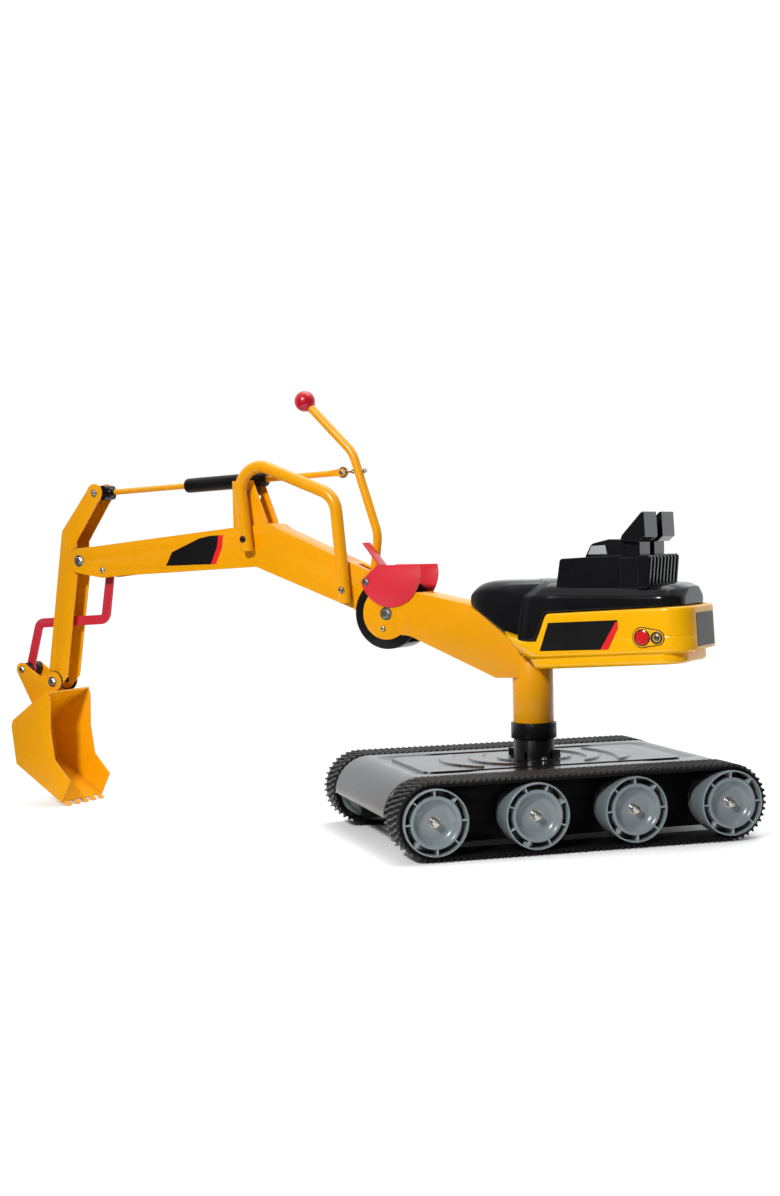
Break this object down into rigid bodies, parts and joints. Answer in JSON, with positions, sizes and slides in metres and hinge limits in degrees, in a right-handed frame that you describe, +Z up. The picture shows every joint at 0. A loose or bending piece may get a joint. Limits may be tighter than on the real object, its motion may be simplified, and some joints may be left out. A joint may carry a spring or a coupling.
{
  "type": "toy excavator",
  "caption": "Ride-on toy excavator: tracked base with wheels, swivelling seat on a post, and a two-section arm with lift handle, control lever and toothed bucket.",
  "frame": {"origin": "centre of the bounding box on the ground, below the arm, with the swivel axis 349.2 mm behind it", "axes": "-X along the arm from the seat to the bucket, +Y to the side away from the lift handle, +Z up"},
  "size_m": [1.4596, 0.7574, 0.7586],
  "materials": {
    "black_plastic": "satin black moulded plastic",
    "clear_lens": "pale grey lamp lens",
    "decal_film": "plain black film with a red edge, no lettering",
    "frame_paint": "black paint on steel",
    "knob_plastic": "glossy deep red ball knob",
    "red_lens": "red lamp lens",
    "red_paint": "glossy red paint on flat steel bar",
    "red_plastic": "glossy red moulded plastic",
    "seat_plastic": "satin-gloss black blow-moulded plastic",
    "steel": "zinc-plated steel fasteners",
    "track_rubber": "black moulded track with a chevron tread",
    "wheel_plastic": "satin grey moulded plastic",
    "yellow_paint": "glossy golden-yellow powder coat on sheet steel",
    "yellow_plastic": "glossy moulded yellow plastic"
  },
  "bodies": {
    "base": {"base_cover": "black_plastic", "base_frame": "frame_paint", "axles": "steel", "hub_bolts": "steel", "track_belt_left": "track_rubber", "track_belt_right": "track_rubber", "post_socket": "black_plastic", "socket_collar": "black_plastic", "socket_screws": "steel", "spindle": "steel", "spindle_washer": "steel"},
    "upper": {"post_tube": "yellow_paint", "upper_bush": "black_plastic", "seat_plate": "frame_paint", "rear_boom": "yellow_paint", "pivot_shield": "black_plastic", "main_pivot_bolt": "steel", "boom_rivets": "steel", "body_shell": "yellow_plastic", "seat": "seat_plastic", "engine_cowl": "seat_plastic", "body_decals": "decal_film", "lamp_bezels": "black_plastic", "tail_lamps": "red_lens", "marker_lamps": "clear_lens"},
    "boom": {"front_boom": "yellow_paint", "lift_handle": "yellow_paint", "handle_screws": "steel", "rod_bracket": "yellow_paint", "guard_near": "red_plastic", "guard_far": "red_plastic", "lever_pivot_bolt": "steel", "pivot_spacers": "black_plastic", "boom_decals": "decal_film", "stick_pivot_bolt": "steel", "stick_spacers": "black_plastic", "link_screw": "steel"},
    "lever": {"lever_tube": "yellow_paint", "lever_knob": "knob_plastic", "lever_eye_bolt": "steel"},
    "stick": {"stick": "yellow_paint", "rod_pivot_screw": "steel"},
    "rod": {"control_rod": "yellow_paint", "rod_clevis": "black_plastic", "rod_fork_bolt": "steel"},
    "sleeve": {"rod_sleeve": "black_plastic", "sleeve_pin": "steel"},
    "link": {"bucket_link": "red_paint"},
    "bucket": {"bucket": "yellow_paint", "bucket_bolts": "steel", "bucket_spacers": "black_plastic"},
    "wheel_left_1": {"wheel_left_1": "wheel_plastic"},
    "wheel_left_2": {"wheel_left_2": "wheel_plastic"},
    "wheel_left_3": {"wheel_left_3": "wheel_plastic"},
    "wheel_left_4": {"wheel_left_4": "wheel_plastic"},
    "wheel_right_1": {"wheel_right_1": "wheel_plastic"},
    "wheel_right_2": {"wheel_right_2": "wheel_plastic"},
    "wheel_right_3": {"wheel_right_3": "wheel_plastic"},
    "wheel_right_4": {"wheel_right_4": "wheel_plastic"}
  },
  "joints": [
    {"name": "swivel", "type": "hinge", "parent": "base", "child": "upper", "pos_m": [0.34918, 0, 0.2], "axis": [0, 0, 1], "continuous": true},
    {"name": "boom_lift", "type": "hinge", "parent": "upper", "child": "boom", "pos_m": [0.09118, 0, 0.3645], "axis": [0, 1, 0], "range_deg": [-6, 30]},
    {"name": "stick_swing", "type": "hinge", "parent": "boom", "child": "stick", "pos_m": [-0.57082, 0, 0.464], "axis": [0, 1, 0], "range_deg": [-18, 15]},
    {"name": "lever_turn", "type": "hinge", "parent": "boom", "child": "lever", "pos_m": [0.05418, 0, 0.4195], "axis": [0, 1, 0], "range_deg": [-12.5, 10.5]},
    {"name": "rod_turn", "type": "hinge", "parent": "stick", "child": "rod", "pos_m": [-0.53582, 0, 0.591], "axis": [0, 1, 0], "range_deg": [-18, 21.5]},
    {"name": "sleeve_slide", "type": "slide", "parent": "rod", "child": "sleeve", "axis": [0.9993, 0, 0.0379], "range_m": [-0.036, 0.042]},
    {"name": "link_turn", "type": "hinge", "parent": "boom", "child": "link", "pos_m": [-0.51682, 0, 0.446], "axis": [0, 1, 0], "range_deg": [-19.5, 16.5]},
    {"name": "bucket_curl", "type": "hinge", "parent": "stick", "child": "bucket", "pos_m": [-0.64282, 0, 0.233], "axis": [0, 1, 0], "range_deg": [-15, 13]},
    {"name": "wheel_left_1_spin", "type": "hinge", "parent": "base", "child": "wheel_left_1", "pos_m": [0.30699, -0.31044, 0.062], "axis": [-0.6947, 0.7193, 0], "continuous": true},
    {"name": "wheel_left_2_spin", "type": "hinge", "parent": "base", "child": "wheel_left_2", "pos_m": [0.42496, -0.19651, 0.062], "axis": [-0.6947, 0.7193, 0], "continuous": true},
    {"name": "wheel_left_3_spin", "type": "hinge", "parent": "base", "child": "wheel_left_3", "pos_m": [0.54293, -0.08259, 0.062], "axis": [-0.6947, 0.7193, 0], "continuous": true},
    {"name": "wheel_left_4_spin", "type": "hinge", "parent": "base", "child": "wheel_left_4", "pos_m": [0.6609, 0.03133, 0.062], "axis": [-0.6947, 0.7193, 0], "continuous": true},
    {"name": "wheel_right_1_spin", "type": "hinge", "parent": "base", "child": "wheel_right_1", "pos_m": [0.03746, -0.03133, 0.062], "axis": [-0.6947, 0.7193, 0], "continuous": true},
    {"name": "wheel_right_2_spin", "type": "hinge", "parent": "base", "child": "wheel_right_2", "pos_m": [0.15543, 0.08259, 0.062], "axis": [-0.6947, 0.7193, 0], "continuous": true},
    {"name": "wheel_right_3_spin", "type": "hinge", "parent": "base", "child": "wheel_right_3", "pos_m": [0.27341, 0.19651, 0.062], "axis": [-0.6947, 0.7193, 0], "continuous": true},
    {"name": "wheel_right_4_spin", "type": "hinge", "parent": "base", "child": "wheel_right_4", "pos_m": [0.39138, 0.31044, 0.062], "axis": [-0.6947, 0.7193, 0], "continuous": true}
  ],
  "couplings": [
    {"joint": "lever_turn", "follows": "stick_swing", "ratio": 0.655},
    {"joint": "rod_turn", "follows": "stick_swing", "ratio": -1.141},
    {"joint": "sleeve_slide", "follows": "stick_swing", "m_per_rad": -0.1255},
    {"joint": "link_turn", "follows": "stick_swing", "ratio": 1.025},
    {"joint": "bucket_curl", "follows": "stick_swing", "ratio": 0.774},
    {"joint": "wheel_left_2_spin", "follows": "wheel_left_1_spin", "ratio": 1},
    {"joint": "wheel_left_3_spin", "follows": "wheel_left_1_spin", "ratio": 1},
    {"joint": "wheel_left_4_spin", "follows": "wheel_left_1_spin", "ratio": 1},
    {"joint": "wheel_right_2_spin", "follows": "wheel_right_1_spin", "ratio": 1},
    {"joint": "wheel_right_3_spin", "follows": "wheel_right_1_spin", "ratio": 1},
    {"joint": "wheel_right_4_spin", "follows": "wheel_right_1_spin", "ratio": 1}
  ]
}
